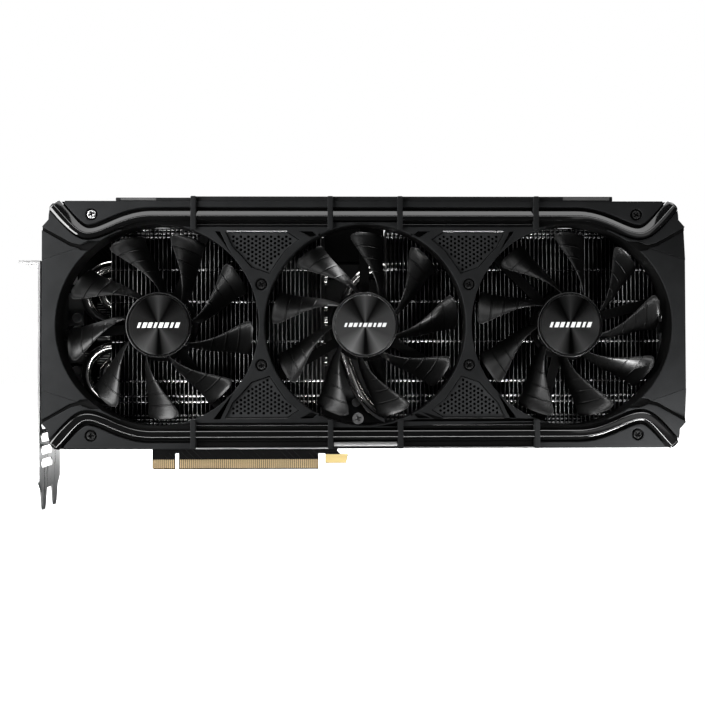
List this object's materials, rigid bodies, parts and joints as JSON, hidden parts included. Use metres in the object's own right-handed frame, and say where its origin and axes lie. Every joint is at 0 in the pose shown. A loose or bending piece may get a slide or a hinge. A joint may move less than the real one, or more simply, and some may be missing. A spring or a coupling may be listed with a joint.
{
  "type": "graphics card",
  "caption": "Triple-fan graphics card with a finned heat-pipe cooler, black shroud, edge connector, slot bracket and back plate.",
  "frame": {"origin": "middle of the bottom edge of the long contact section of the card edge, in the board's mid-plane", "axes": "+X along the card away from the slot bracket, +Y through the board to the back plate, +Z from the contacts up through the card"},
  "size_m": [0.317, 0.0573, 0.1489],
  "materials": {
    "shroud_black": "fine moulded texture, matte black",
    "trim_gloss": "mirror-gloss black",
    "blade_gloss": "satin-gloss black",
    "spun_metal": "dark spun metal with circular brushing",
    "fin_aluminium": "bare rolled sheet",
    "nickel": "nickel plating",
    "bracket_steel": "bright plated steel",
    "screw_black": "black oxide",
    "screw_bright": "bright zinc",
    "shaft_steel": "ground steel",
    "winding_copper": "copper",
    "board_black": "black solder mask over glass laminate",
    "chip_black": "moulded black epoxy",
    "socket_black": "black nylon",
    "gold_contact": "gold plating",
    "back_plate_black": "black powder coat on aluminium",
    "dark_plate": "black anodised",
    "white_plastic": "plain moulding"
  },
  "bodies": {
    "card": {"circuit_board": "board_black", "gpu_package": "chip_black", "cold_plate": "nickel", "memory_plate": "dark_plate", "fin_stack_left": "fin_aluminium", "fin_stack_right": "fin_aluminium", "fan_shroud": "shroud_black", "upper_trim_rail": "trim_gloss", "lower_trim_rail": "trim_gloss", "top_cover_bar": "shroud_black", "io_bracket": "bracket_steel", "hdmi_socket": "bracket_steel", "back_plate": "back_plate_black", "spring_plate": "bracket_steel", "bios_switch_body": "socket_black", "power_socket_left": "socket_black", "power_socket_right": "socket_black", "heat_pipe_1": "nickel", "heat_pipe_2": "nickel", "heat_pipe_3": "nickel", "heat_pipe_4": "nickel", "heat_pipe_5": "nickel", "heat_pipe_6": "nickel", "heat_pipe_7": "nickel", "display_socket_1": "bracket_steel", "display_socket_2": "bracket_steel", "display_socket_3": "bracket_steel", "bracket_screw_1": "screw_bright", "bracket_screw_2": "screw_bright", "grille_upper_left": "blade_gloss", "centre_screw_upper_left": "screw_black", "corner_screw_upper_left": "screw_bright", "grille_upper_right": "blade_gloss", "centre_screw_upper_right": "screw_black", "corner_screw_upper_right": "screw_black", "grille_lower_left": "blade_gloss", "centre_screw_lower_left": "screw_black", "corner_screw_lower_left": "screw_black", "grille_lower_right": "blade_gloss", "centre_screw_lower_right": "screw_black", "corner_screw_lower_right": "screw_black", "bearing_sleeve_left": "winding_copper", "stator_left": "winding_copper", "fan_frame_left": "shroud_black", "bearing_sleeve_middle": "winding_copper", "stator_middle": "winding_copper", "fan_frame_middle": "shroud_black", "bearing_sleeve_right": "winding_copper", "stator_right": "winding_copper", "fan_frame_right": "shroud_black"},
    "fan_left": {"impeller_left": "blade_gloss", "hub_badge_left": "spun_metal", "fan_shaft_left": "shaft_steel"},
    "fan_middle": {"impeller_middle": "blade_gloss", "hub_badge_middle": "spun_metal", "fan_shaft_middle": "shaft_steel"},
    "fan_right": {"impeller_right": "blade_gloss", "hub_badge_right": "spun_metal", "fan_shaft_right": "shaft_steel"},
    "switch_slider": {"bios_switch_slider": "white_plastic"}
  },
  "joints": [
    {"name": "fan_left_spin", "type": "hinge", "parent": "card", "child": "fan_left", "pos_m": [-0.0389, -0.04, 0.0721], "axis": [0, -1, 0], "continuous": true},
    {"name": "fan_middle_spin", "type": "hinge", "parent": "card", "child": "fan_middle", "pos_m": [0.0586, -0.04, 0.0721], "axis": [0, -1, 0], "continuous": true},
    {"name": "fan_right_spin", "type": "hinge", "parent": "card", "child": "fan_right", "pos_m": [0.1561, -0.04, 0.0721], "axis": [0, -1, 0], "continuous": true},
    {"name": "bios_switch_slide", "type": "slide", "parent": "card", "child": "switch_slider", "axis": [1, 0, 0], "range_m": [0, 0.002]}
  ]
}
